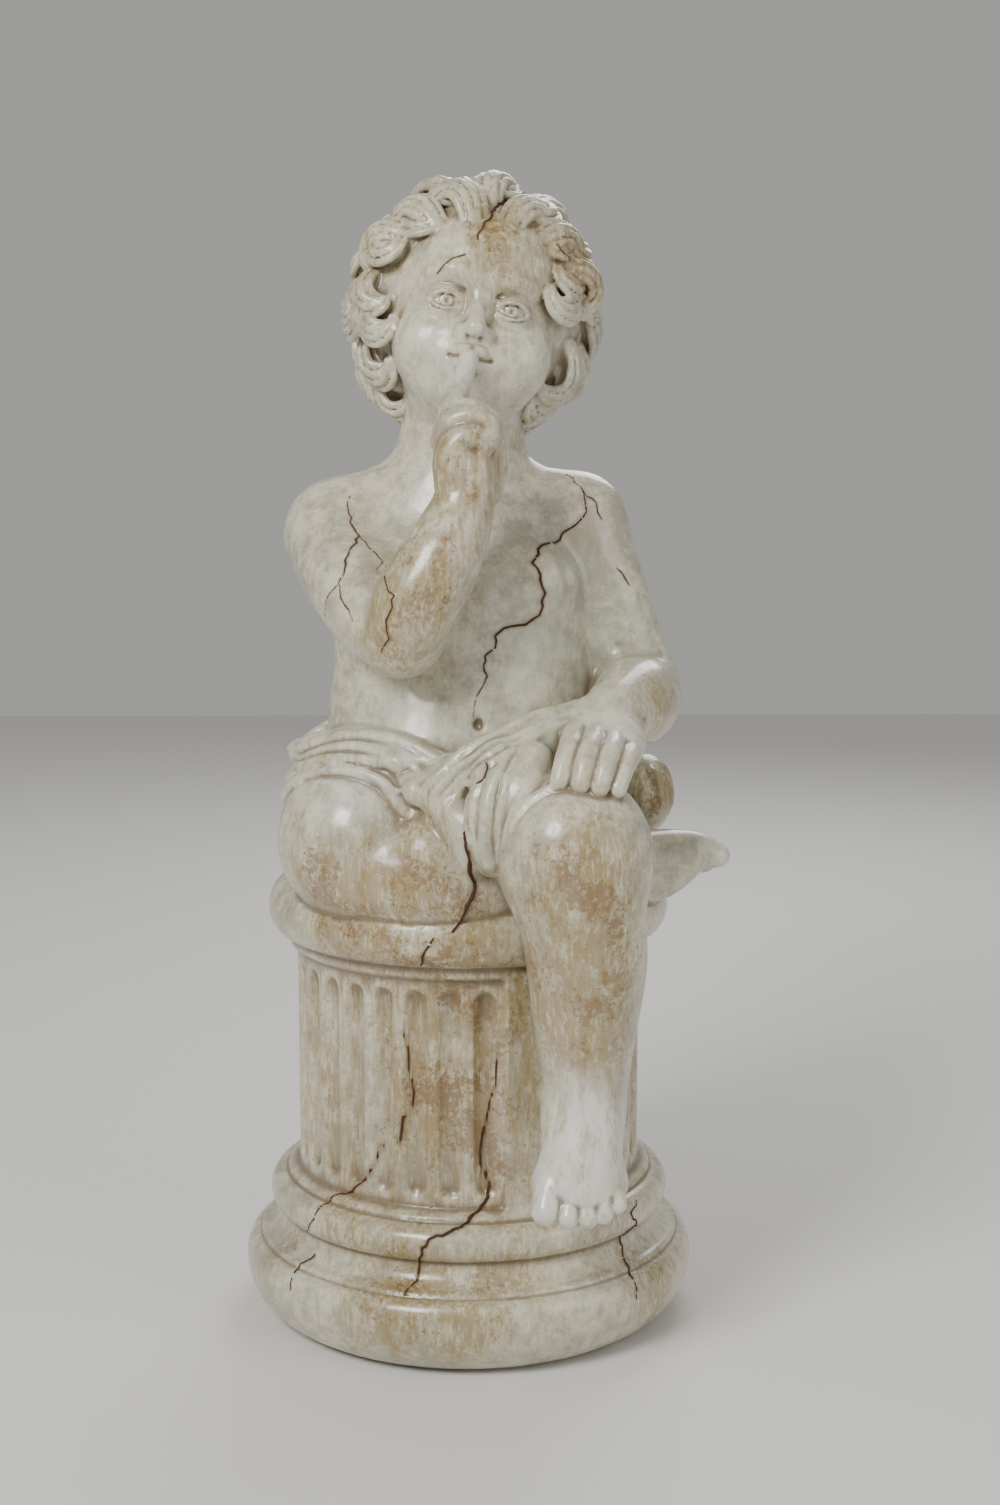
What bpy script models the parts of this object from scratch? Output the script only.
"""Seated cherub on a fluted round column, cast as one piece.

The figure sits on the column with one leg folded under the other, and holds a finger to
its lips. +Z is up, the figure faces -Y, and the origin is the centre of the column's foot.
"""
import math
import random

import bmesh
import bpy
from mathutils import Euler, Matrix, Vector

# Column, in metres
COLUMN_HEIGHT = 0.273
FOOT_RADIUS = 0.110
BASE_RADIUS = 0.1403
LOWER_TORUS_HEIGHT = 0.0485
LOWER_TORUS_BELLY = 0.034
SCOTIA_TOP_RADIUS = 0.1175
SCOTIA_HEIGHT = 0.018
UPPER_TORUS_RADIUS = 0.1248
UPPER_TORUS_HEIGHT = 0.0215
SHAFT_FOOT_HEIGHT = 0.0065
SHAFT_RADIUS = 0.1065
CAP_HEIGHT = 0.042
CAP_RADIUS = 0.1237
CAP_TOP_RADIUS = 0.111
FILLET = 0.003
TURNED_SIDES = 48

# Flutes, cut into the shaft
FLUTE_COUNT = 32
FLUTE_RADIUS = 0.009
FLUTE_DEPTH = 0.0042
FLUTE_END_GAP = 0.006
FLUTE_SIDES = 10

# Plain web that ties the hanging leg to the shaft
WEB_HALF_WIDTH = 0.016
WEB_STRIP_HALF_WIDTH = 0.0105
WEB_DEPTH = 0.020
WEB_CENTRE = 0.062
WEB_STRIP_CENTRE = 0.028

# Figure, whose pose and carving are shares of its height from the seat to the crown
FIGURE_HEIGHT = 0.427
SHARES = 427
VOXEL = 0.0021
SMOOTH_STEPS = 8
FIGURE_TRIANGLES = 5800

HEAD_CENTRE = (7, 4, 343)
HEAD_LEAN = 10
HEAD_LIFT = 8
SKULL_CENTRE = (-4, 12, 2)
SKULL_RADII = (69, 65, 72)
HAIR_SEED = 7

STONE = ("glazed_stone_cast", (0.60, 0.53, 0.43, 1.0), 0.28)


def ball(centre, radii, turn=(0, 0, 0)):
    """An ellipsoid of the figure, turned by degrees about X, Y and Z."""
    return {"kind": "ball", "centre": centre, "radii": radii, "turn": turn}


def limb(*stations):
    """A round limb through stations of x, y, z and radius."""
    return {"kind": "limb", "stations": stations}


TRUNK = {
    "seat": ball((-4, -24, 2), (74, 66, 34)),
    "hips": ball((-2, 12, 45), (88, 78, 50)),
    "lap": ball((-8, -32, 66), (74, 52, 40)),
    "loins": ball((-2, 6, 74), (84, 72, 60)),
    "belly": ball((-2, -8, 105), (82, 66, 60)),
    "waist": ball((-3, -3, 140), (81, 62, 60)),
    "chest": ball((-4, -1, 173), (81, 59, 60)),
    "shoulders": limb((-78, 4, 212, 31), (-6, 10, 222, 38), (66, 4, 217, 28)),
    "neck": limb((-6, 12, 224, 46), (-5, 8, 250, 39), (-2, 4, 289, 38)),
    "right breast": ball((-38, -36, 185), (30, 23, 22)),
    "left breast": ball((30, -36, 185), (30, 23, 22)),
    "right upper arm": limb(
        (-78, 0, 209, 31.5), (-70, -35, 189, 29), (-52, -75, 167, 26.5), (-38, -96, 158, 24.5)
    ),
    "right forearm": limb(
        (-37, -97, 158, 24.5), (-31.5, -106, 173, 24.5), (-17, -106, 197, 23.5),
        (-4, -101, 225, 18.5), (-1, -99, 241, 15.5),
    ),
    "left upper arm": limb(
        (68, 2, 219, 27), (79, -2, 195, 24.5), (88, -4, 167, 24), (97, -8, 139, 24.5), (104, -12, 117, 26)
    ),
    "left forearm": limb((104, -14, 115, 26), (99, -48, 113, 26), (88, -76, 110, 21.5), (80, -92, 108, 17.5)),
    "left thigh": limb((38, -10, 45, 50), (50, -80, 47, 45), (58, -132, 41, 41)),
    "left knee": ball((60, -138, 35), (42, 36, 44)),
    "left shin": limb(
        (62, -140, 13, 34.5), (66.5, -130, -21, 34.5), (66.5, -126, -58, 30),
        (66.5, -126, -93, 24.5), (65.5, -128, -111, 22.5),
    ),
    "right thigh": limb((-30, -5, 49, 52), (-55, -40, 42, 52), (-62, -58, 33, 51)),
    "right calf": limb((-60, -66, 21, 40), (-10, -86, 15, 36), (45, -70, 13, 30), (85, -52, 11, 24)),
    "pressed calf": limb((-22, -96, 26, 25), (-12, -98, 20, 25), (2, -96, 14, 22)),
    "right foot": limb((85, -50, 11, 24), (112, -44, 14, 21.5), (135, -47, 22.5, 12.5), (150, -50, 21, 7.5)),
}

HANDS = {
    "raised palm": ball((-1, -96, 261), (18, 14, 24), (0, -6, 0)),
    "raised little finger side": limb((15, -92, 268, 7.5), (16, -92, 254, 7.5), (12, -95, 238, 8)),
    "raised forefinger": limb(
        (-10, -96, 272, 8.5), (-8.5, -92, 285, 7.4), (-4.5, -82, 295, 6.6),
        (-1.5, -74, 304, 6.2), (0.8, -68, 312, 5.7),
    ),
    "curled middle finger": limb(
        (-14, -98, 266, 7), (-9.5, -104, 275.5, 6.8), (2, -107, 279.5, 6.6),
        (11.5, -107, 275.5, 6.4), (13, -110, 267, 5.6), (8, -108, 262, 5),
    ),
    "curled ring finger": limb(
        (-13, -92, 270, 7), (-4, -94, 283, 6.2), (8, -96, 282, 6), (15, -97, 272, 6), (14, -99, 262, 5.5)
    ),
    "raised thumb": limb(
        (-8, -104, 243, 11), (-8, -107, 256, 11.2), (-4, -109.5, 266, 8.6),
        (4, -111.5, 268.5, 6.6), (9.5, -111, 264.5, 5),
    ),
    "raised thumb base": limb((3, -103, 250, 11), (6, -105, 240, 8)),
    "resting palm": ball((78, -107, 100.5), (22.5, 26, 13.5), (28, 0, 8)),
    "resting forefinger": limb((63, -118, 99, 7.8), (55, -136, 95, 7.4), (48.5, -148, 84.5, 6.4)),
    "resting middle finger": limb((73, -126, 99.5, 8), (68, -144, 95, 7.6), (64, -153.5, 81, 6.6)),
    "resting ring finger": limb((83, -124, 98, 8), (80, -143, 94, 7.5), (76.5, -152.5, 79.5, 6.6)),
    "resting little finger": limb((92, -118, 95, 7.4), (90.5, -136, 92, 7), (87.5, -147.5, 80, 6.2)),
}

FEET = {
    "left instep": limb((65.5, -128, -113, 22.5), (64, -138, -133, 23.5), (63, -148, -149, 19)),
    "left sole": ball((62.5, -146, -151), (27.5, 14.5, 21), (-22, 0, 0)),
    "left heel": ball((65.5, -118, -133), (20, 16, 24)),
    "left big toe": limb((46.5, -152, -148, 10), (43, -160, -159.5, 8.8)),
    "left second toe": limb((56.5, -155, -151, 7.2), (55.5, -163.5, -162.5, 6.6)),
    "left third toe": limb((65, -155, -151, 7), (65.5, -163.5, -163, 6.3)),
    "left fourth toe": limb((73.5, -153, -150, 6.8), (74.6, -161, -161.5, 6)),
    "left little toe": limb((81.5, -149, -147, 6.6), (83, -156.5, -157.5, 5.7)),
    "right big toe": limb((146, -52, 21, 7), (152, -52, 21, 6.2)),
    "right toes": limb((140, -42, 17, 6), (149, -41, 16, 4.8)),
}

CLOTH = {
    "waist band": limb(
        (-101, -28, 81, 7), (-86, -43, 86, 10), (-60, -66, 88, 11), (-36, -82, 86, 10), (-10, -92, 80, 7.5)
    ),
    "waist band upper edge": limb(
        (-103, -28, 82, 5), (-78, -59, 93, 4.5), (-63, -69, 96, 4.5), (-33, -85, 92, 4), (-16, -95, 86, 3.5)
    ),
    "thigh cloth": limb(
        (-98, -38, 64, 12), (-80, -56, 74, 15), (-60, -70, 77, 15), (-44, -80, 70, 13), (-30, -90, 60, 9)
    ),
    "upper thigh fold": limb(
        (-104, -34, 73, 5), (-83, -69, 82, 4.2), (-65, -83, 85, 4.4), (-47, -94, 81, 5),
        (-38, -101, 74, 5.6), (-31, -104, 66, 5.6), (-24, -107, 58, 5),
    ),
    "hem round the thigh": limb(
        (-102, 10, 35, 6), (-110, -20, 42, 7), (-106, -40, 54, 6.4), (-97, -58, 64, 5.8), (-83, -71, 72, 5.4),
        (-68, -81, 75, 5.4), (-51, -89, 72, 5.4), (-43, -92, 65, 5.4), (-36, -95, 56, 5.4), (-28, -99, 52, 5),
    ),
    "lap cloth": limb((-14, -102, 72, 12), (12, -104, 85, 15), (40, -98, 97, 15), (66, -86, 107, 12)),
    "upper lap fold": limb(
        (-25, -112, 63, 5), (-24, -112, 72, 4.6), (-5, -111, 88, 4.4), (23, -108, 103, 4.2), (62, -88, 118, 4)
    ),
    "middle lap fold": limb(
        (-20, -117, 59, 4.6), (-21, -116, 67, 4.4), (-6, -116, 83, 4.2), (25, -115, 98, 4.2), (60, -100, 112, 4)
    ),
    "lower lap fold": limb((-16, -117, 66, 4.4), (-1, -119, 80, 4.2), (26, -119, 94, 4.2), (52, -108, 106, 4)),
    "falling cloth": limb((18, -118, 85, 13), (13, -129, 67, 13), (11, -133, 47, 11.5), (12, -133, 32, 8)),
    "falling cloth by the knee": limb((36, -124, 88, 12), (28, -134, 72, 12), (21, -138, 54, 8)),
    "left falling fold": limb((8, -132, 81, 4.4), (3, -137, 69, 4.4), (2, -139, 58, 4.4), (8, -141, 30, 4.6)),
    "middle falling fold": limb(
        (22, -127, 92, 5.4), (12, -141, 73, 4.6), (10, -144, 60, 4.6), (10, -144, 34, 5), (14, -143, 25, 6)
    ),
    "right falling fold": limb(
        (38, -136, 84, 4.4), (30, -144, 74, 4.2), (24, -148, 60, 4), (20, -148, 44, 3.6)
    ),
    "hem over the knee": limb((56, -148, 80, 4.6), (45, -149, 78, 4.6), (33, -149, 70, 4.4), (25, -150, 57, 4)),
    "cloth behind": ball((-2, 14, 36), (97, 83, 44)),
    "hem behind": limb(
        (-102, 10, 35, 7), (-90, 54, 32, 7), (-44, 88, 30, 7), (14, 93, 30, 7), (66, 76, 34, 7), (98, 40, 42, 8)
    ),
    "waist band behind": limb(
        (-101, -28, 82, 7), (-83, 24, 88, 7), (-50, 60, 90, 7), (0, 73, 88, 7),
        (50, 60, 84, 7), (86, 24, 74, 7), (106, 8, 60, 8),
    ),
    "gathered end": ball((112, 12, 49), (16.5, 26, 24.5)),
    "cloth on the seat": ball((97, 35, 40), (22, 32, 28)),
}

# The head's forms are in its own frame, with its origin in the middle of the skull
HEAD = {
    "skull": ball((0, 6, 10), (51, 58, 54)),
    "face": ball((0, -22, -24), (42, 35, 42)),
    "forehead": ball((0, -24, 20), (42, 33, 35)),
    "right cheek": ball((-26, -33, -31), (20, 20, 20)),
    "left cheek": ball((26, -33, -31), (20, 20, 20)),
    "jaw": ball((0, -22, -50), (30, 30, 19)),
    "chin": ball((0, -44, -55), (13, 13, 11)),
    "muzzle": ball((0, -53, -38), (15, 8, 10)),
    "nose": limb((0, -52, 2, 4), (0, -56, -8, 4.2), (0, -61.5, -17, 5.2), (0, -64, -22, 6.4)),
    "right brow": limb((-7, -56, 7, 3), (-18, -56, 11, 3.4), (-31, -48, 7, 2.6)),
    "left brow": limb((7, -56, 7, 3), (18, -56, 11, 3.4), (31, -48, 7, 2.6)),
    "upper lip": limb((-10.5, -57, -38, 1.8), (0, -62.4, -36, 2.6), (10.5, -57, -38, 1.8)),
    "lower lip": limb((-9, -57, -41.5, 1.8), (0, -61, -43.5, 3.4), (9, -57, -41.5, 1.8)),
    "hair cap": ball((-4, 14, 4), (69, 63, 70)),
    "hair at the nape": ball((-1, 24, -32), (57, 47, 38)),
}
SOCKET_CENTRE = (19, -64, -7.5)
SOCKET_RADII = (12, 10.5, 8)
EYE_CENTRE = (19, -46, -8)
EYE_RADIUS = 11

# Rows of locks over the skull: height in degrees, count, first and last bearing from the face
LOCK_ROWS = (
    (80, 4, 30, 330), (61, 7, 44, 320), (42, 9, 54, 308), (24, 10, 60, 300), (7, 11, 60, 300),
    (-10, 11, 64, 296), (-27, 10, 70, 288), (-43, 8, 86, 274), (-58, 5, 120, 240),
)
DOWNWARD = 180
LOCK_TURN = 4
LOCK_SWAY = 40
LOCK_WINDING = (170, 280)
LOCK_LENGTH = (38, 52)
LOCK_WIDTH = (7.0, 8.8)
LOCK_RISE = (1, 4.5)

# Locks that spring up from the hairline: bearing, height, heading, winding, length
FORELOCKS = (
    (-6, 30, -12, -235, 62), (12, 31, 14, 250, 58), (-26, 29, -45, -210, 56), (30, 30, 50, 230, 54),
    (-44, 24, -80, -210, 52), (46, 24, 95, 220, 54), (2, 52, -20, 220, 56), (-28, 54, -60, -200, 52),
    (32, 55, 60, 210, 52),
)
FORELOCK_WIDTH = 8.6
FORELOCK_RISE = 6.5


def clear_scene():
    for thing in list(bpy.data.objects):
        bpy.data.objects.remove(thing)


def new_object(name, mesh, collection):
    made = bpy.data.objects.new(name, mesh)
    collection.objects.link(made)
    return made


def cutter(made):
    made.hide_render = True
    made.display_type = "WIRE"
    return made


def quarter(start, end, first, steps=4):
    """Points of a quarter ellipse from start to end that leaves along r or along z."""
    points = []
    for step in range(1, steps + 1):
        angle = step / steps * math.pi / 2
        fast, slow = math.sin(angle), 1 - math.cos(angle)
        along_r, along_z = (fast, slow) if first == "r" else (slow, fast)
        points.append((start[0] + (end[0] - start[0]) * along_r, start[1] + (end[1] - start[1]) * along_z))
    return points


def column_profile():
    """Radius and height of the turned column, from the foot up."""
    torus_top = BASE_RADIUS - FILLET * 3
    scotia_foot = LOWER_TORUS_HEIGHT + FILLET
    scotia_top = LOWER_TORUS_HEIGHT + SCOTIA_HEIGHT
    upper_top = scotia_top + UPPER_TORUS_HEIGHT
    upper_belly = scotia_top + UPPER_TORUS_HEIGHT / 2
    shaft_foot = upper_top + SHAFT_FOOT_HEIGHT
    cap_foot = COLUMN_HEIGHT - CAP_HEIGHT
    neck_radius = SHAFT_RADIUS + FILLET * 1.5
    cap_belly = COLUMN_HEIGHT - CAP_HEIGHT * 0.4
    points = [(FOOT_RADIUS, 0)]
    points += quarter(points[-1], (BASE_RADIUS, LOWER_TORUS_BELLY), "r", 5)
    points += quarter(points[-1], (torus_top, LOWER_TORUS_HEIGHT), "z", 3)
    points += [(torus_top - FILLET / 3, scotia_foot)]
    points += quarter(points[-1], (SCOTIA_TOP_RADIUS, scotia_top), "r", 3)
    points += quarter(points[-1], (UPPER_TORUS_RADIUS, upper_belly), "r", 3)
    points += quarter(points[-1], (SHAFT_RADIUS + FILLET * 2.5, upper_top), "z", 3)
    points += [(SHAFT_RADIUS + FILLET * 2.3, shaft_foot - FILLET), (SHAFT_RADIUS, shaft_foot)]
    points += [(SHAFT_RADIUS, cap_foot), (neck_radius, cap_foot + FILLET), (neck_radius, cap_foot + FILLET * 3)]
    points += quarter(points[-1], (CAP_RADIUS, cap_belly), "r", 3)
    points += quarter(points[-1], (CAP_TOP_RADIUS, COLUMN_HEIGHT), "z", 4)
    return points


def make_column(collection):
    """Turn the column's profile, run from the top down its outer side."""
    outline = [(0, COLUMN_HEIGHT)] + column_profile()[::-1] + [(0, 0)]
    mesh = bpy.data.meshes.new("column")
    mesh.from_pydata([(r, 0, z) for r, z in outline], [(i, i + 1) for i in range(len(outline) - 1)], [])
    column = new_object("column", mesh, collection)
    turn = column.modifiers.new("turn", "SCREW")
    turn.axis = "Z"
    turn.steps = turn.render_steps = TURNED_SIDES
    turn.use_merge_vertices = True
    turn.merge_threshold = 0.0001
    return column


def add_capsule(target, foot, top, radius, sides):
    """Add a rod with tapered ends to the bmesh target."""
    middle = (foot + top) / 2
    made = bmesh.ops.create_cone(
        target, cap_ends=True, segments=sides, radius1=radius, radius2=radius, depth=top - foot,
        matrix=Matrix.Translation((0, 0, middle)),
    )["verts"]
    faces = {face for vert in made for face in vert.link_faces if len(face.verts) > 4}
    for face in faces:
        outward = 1 if face.calc_center_median().z > middle else -1
        grown = bmesh.ops.inset_region(target, faces=[face], thickness=radius * 0.5, depth=radius * 0.75)
        made += [vert for piece in grown["faces"] for vert in piece.verts]
    return list({vert for vert in made if vert.is_valid})


def make_flutes(collection):
    """Rods round the shaft, one for each flute that the web and the leg leave free."""
    shaft_foot = LOWER_TORUS_HEIGHT + SCOTIA_HEIGHT + UPPER_TORUS_HEIGHT + SHAFT_FOOT_HEIGHT
    low = shaft_foot + FLUTE_END_GAP + FLUTE_RADIUS
    high = COLUMN_HEIGHT - CAP_HEIGHT - FLUTE_END_GAP - FLUTE_RADIUS
    reach = SHAFT_RADIUS + FLUTE_RADIUS - FLUTE_DEPTH
    web_left = WEB_STRIP_CENTRE - WEB_STRIP_HALF_WIDTH
    web_right = WEB_CENTRE + WEB_HALF_WIDTH
    rods = bmesh.new()
    for number in range(FLUTE_COUNT):
        angle = (number + 0.5) / FLUTE_COUNT * 2 * math.pi
        x, y = reach * math.sin(angle), -reach * math.cos(angle)
        if y < 0 and web_left - FLUTE_DEPTH < x < web_right:
            continue
        rod = add_capsule(rods, low, high, FLUTE_RADIUS, FLUTE_SIDES)
        bmesh.ops.translate(rods, verts=rod, vec=(x, y, 0))
    mesh = bpy.data.meshes.new("flutes")
    rods.to_mesh(mesh)
    rods.free()
    return cutter(new_object("flutes", mesh, collection))


def make_web(collection):
    """Upright blocks behind the hanging leg, from the base to the cap."""
    foot = LOWER_TORUS_HEIGHT + SCOTIA_HEIGHT
    top = COLUMN_HEIGHT - CAP_HEIGHT / 2
    mesh = bpy.data.meshes.new("leg_web")
    web = bmesh.new()
    for x, half_width, front in (
        (WEB_STRIP_CENTRE, WEB_STRIP_HALF_WIDTH, SHAFT_RADIUS),
        (WEB_CENTRE, WEB_HALF_WIDTH, SHAFT_RADIUS + WEB_DEPTH / 2),
    ):
        size = Matrix.Diagonal((half_width * 2, WEB_DEPTH * 2, top - foot, 1))
        lean = Matrix.Rotation(math.asin(x / SHAFT_RADIUS), 4, "Z")
        place = Matrix.Translation((x, -math.sqrt(front ** 2 - x ** 2) + WEB_DEPTH, (top + foot) / 2))
        bmesh.ops.create_cube(web, size=1, matrix=place @ lean @ size)
    web.to_mesh(mesh)
    web.free()
    return cutter(new_object("leg_web", mesh, collection))


def smooth_stations(stations, steps):
    """Stations on the smooth curve through the given ones, with the radius eased as well."""
    points = [Vector(station) for station in stations]
    if len(points) < 3:
        return points
    points = [points[0] * 2 - points[1]] + points + [points[-1] * 2 - points[-2]]
    curve = []
    for first, here, there, last in zip(points, points[1:], points[2:], points[3:]):
        for step in range(steps):
            t = step / steps
            curve.append(
                (here * 2 + (there - first) * t + (first * 2 - here * 5 + there * 4 - last) * t ** 2
                 + (here * 3 - first - there * 3 + last) * t ** 3) * 0.5
            )
    curve.append(points[-2])
    return curve


def add_ball(target, form, frame, detail=3):
    turn = Euler([math.radians(angle) for angle in form["turn"]]).to_matrix().to_4x4()
    place = frame @ Matrix.Translation(form["centre"]) @ turn @ Matrix.Diagonal((*form["radii"], 1))
    bmesh.ops.create_icosphere(target, subdivisions=detail, radius=1, matrix=place)


def add_limb(target, form, frame, steps=3, detail=2):
    """Add the hull of each pair of neighbouring spheres along a limb."""
    stations = smooth_stations(form["stations"], steps)
    for here, there in zip(stations, stations[1:]):
        link = bmesh.new()
        for x, y, z, radius in (here, there):
            place = frame @ Matrix.Translation((x, y, z)) @ Matrix.Scale(radius, 4)
            bmesh.ops.create_icosphere(link, subdivisions=detail, radius=1, matrix=place)
        hull = bmesh.ops.convex_hull(link, input=link.verts)
        bmesh.ops.delete(link, geom=hull["geom_interior"], context="VERTS")
        bmesh.ops.recalc_face_normals(link, faces=link.faces)
        mesh = bpy.data.meshes.new("link")
        link.to_mesh(mesh)
        link.free()
        target.from_mesh(mesh)
        bpy.data.meshes.remove(mesh)


def add_forms(target, forms, frame):
    for form in forms.values():
        if form["kind"] == "ball":
            add_ball(target, form, frame)
        else:
            add_limb(target, form, frame)


def figure_frame():
    """From shares of the figure's height, with the seat's centre as origin, to metres."""
    return Matrix.Translation((0, 0, COLUMN_HEIGHT)) @ Matrix.Scale(FIGURE_HEIGHT / SHARES, 4)


def head_frame():
    lean = Matrix.Rotation(math.radians(HEAD_LEAN), 4, "Y")
    lift = Matrix.Rotation(math.radians(-HEAD_LIFT), 4, "X")
    return figure_frame() @ Matrix.Translation(HEAD_CENTRE) @ lean @ lift


def skull_direction(bearing, height):
    turn, rise = math.radians(bearing), math.radians(height)
    return Vector((math.sin(turn) * math.cos(rise), -math.cos(turn) * math.cos(rise), math.sin(rise)))


def lock_stations(bearing, height, heading, winding, length, width, rise, steps=8):
    """Stations of one lock, which runs over the skull and winds up at its end."""
    out = skull_direction(bearing, height)
    angle = math.radians(heading)
    typical = sum(SKULL_RADII) / 3
    stations = []
    for step in range(steps + 1):
        t = step / steps
        reach = 1 / math.sqrt(sum((part / radius) ** 2 for part, radius in zip(out, SKULL_RADII)))
        lifted = rise * (0.25 + 0.9 * math.sin(math.pi * min(t * 1.15, 1)) ** 0.8)
        point = Vector(SKULL_CENTRE) + out * (reach + lifted)
        stations.append((*point, width * (1 - 0.6 * t ** 2) * min(1, 0.6 + 2 * t)))
        east = Vector((0, 0, 1)).cross(out).normalized()
        north = out.cross(east)
        ahead = east * math.sin(angle) + north * math.cos(angle)
        out = (out * typical + ahead * length / steps * (1 - 0.35 * t)).normalized()
        angle += math.radians(winding) / steps * (0.3 + 1.5 * t)
    return stations


def add_hair(target, frame):
    chance = random.Random(HAIR_SEED)
    for height, count, first, last in LOCK_ROWS:
        for number in range(count):
            share = number / (count - 1)
            bearing = first + (last - first) * share + chance.uniform(-LOCK_TURN, LOCK_TURN)
            away = 1 if bearing < 180 else -1
            by_the_face = number in (0, count - 1)
            winding = (away if by_the_face else chance.choice((-1, 1))) * chance.uniform(*LOCK_WINDING)
            heading = DOWNWARD + chance.uniform(-LOCK_SWAY, LOCK_SWAY)
            stations = lock_stations(
                bearing, height + chance.uniform(-LOCK_TURN, LOCK_TURN), heading, winding,
                chance.uniform(*LOCK_LENGTH), chance.uniform(*LOCK_WIDTH), chance.uniform(*LOCK_RISE)
            )
            add_limb(target, limb(*stations), frame, steps=1, detail=1)
    for bearing, height, heading, winding, length in FORELOCKS:
        stations = lock_stations(bearing, height, heading, winding, length, FORELOCK_WIDTH, FORELOCK_RISE)
        add_limb(target, limb(*stations), frame, steps=1, detail=1)


def fuse(made, voxel):
    """Fuse the bodies of an object into one skin."""
    remesh = made.modifiers.new("fuse", "REMESH")
    remesh.mode = "VOXEL"
    remesh.voxel_size = voxel
    return remesh


def cut(made, tool, operation):
    boolean = made.modifiers.new(operation.lower(), "BOOLEAN")
    boolean.operation = operation
    boolean.solver = "EXACT"
    boolean.object = tool
    return boolean


def make_head(collection):
    """The head with its eye sockets cut, then its eyes and hair, in one mesh."""
    frame = head_frame()
    skin = bmesh.new()
    add_forms(skin, HEAD, frame)
    mesh = bpy.data.meshes.new("head")
    skin.to_mesh(mesh)
    skin.free()
    head = new_object("head", mesh, collection)
    fuse(head, VOXEL)
    sockets = bmesh.new()
    for side in (-1, 1):
        centre = (SOCKET_CENTRE[0] * side, *SOCKET_CENTRE[1:])
        add_ball(sockets, ball(centre, SOCKET_RADII), frame)
    mesh = bpy.data.meshes.new("eye_sockets")
    sockets.to_mesh(mesh)
    sockets.free()
    cut(head, cutter(new_object("eye_sockets", mesh, collection)), "DIFFERENCE")
    return head


def evaluated_mesh(made):
    view = bpy.context.evaluated_depsgraph_get()
    view.update()
    return bpy.data.meshes.new_from_object(made.evaluated_get(view))


def make_figure(collection):
    """All the figure's forms fused, smoothed and thinned to its share of triangles."""
    head = make_head(collection)
    bpy.context.view_layer.update()
    body = bmesh.new()
    body.from_mesh(evaluated_mesh(head))
    frame = head_frame()
    for side in (-1, 1):
        add_ball(body, ball((EYE_CENTRE[0] * side, *EYE_CENTRE[1:]), (EYE_RADIUS,) * 3), frame)
    add_hair(body, frame)
    for forms in (TRUNK, HANDS, FEET, CLOTH):
        add_forms(body, forms, figure_frame())
    mesh = bpy.data.meshes.new("figure")
    body.to_mesh(mesh)
    body.free()
    figure = cutter(new_object("figure", mesh, collection))
    cutter(head)
    fuse(figure, VOXEL)
    soften = figure.modifiers.new("soften", "SMOOTH")
    soften.factor = 0.5
    soften.iterations = SMOOTH_STEPS
    bpy.context.view_layer.update()
    full = evaluated_mesh(figure)
    thin = figure.modifiers.new("thin", "DECIMATE")
    thin.use_collapse_triangulate = True
    thin.ratio = FIGURE_TRIANGLES / (2 * len(full.polygons))
    bpy.data.meshes.remove(full)
    return figure


def make_material(name, colour, roughness):
    material = bpy.data.materials.new(name)
    material.use_nodes = True
    shader = material.node_tree.nodes["Principled BSDF"]
    shader.inputs["Base Color"].default_value = colour
    shader.inputs["Roughness"].default_value = roughness
    return material


def main():
    clear_scene()
    parts = bpy.data.collections.new("cherub_statue")
    tools = bpy.data.collections.new("cutters")
    for collection in (parts, tools):
        bpy.context.scene.collection.children.link(collection)
    statue = make_column(parts)
    statue.name = "cherub_statue"
    cut(statue, make_flutes(tools), "DIFFERENCE")
    cut(statue, make_web(tools), "UNION")
    cut(statue, make_figure(tools), "UNION")
    statue.data.materials.append(make_material(*STONE))


main()
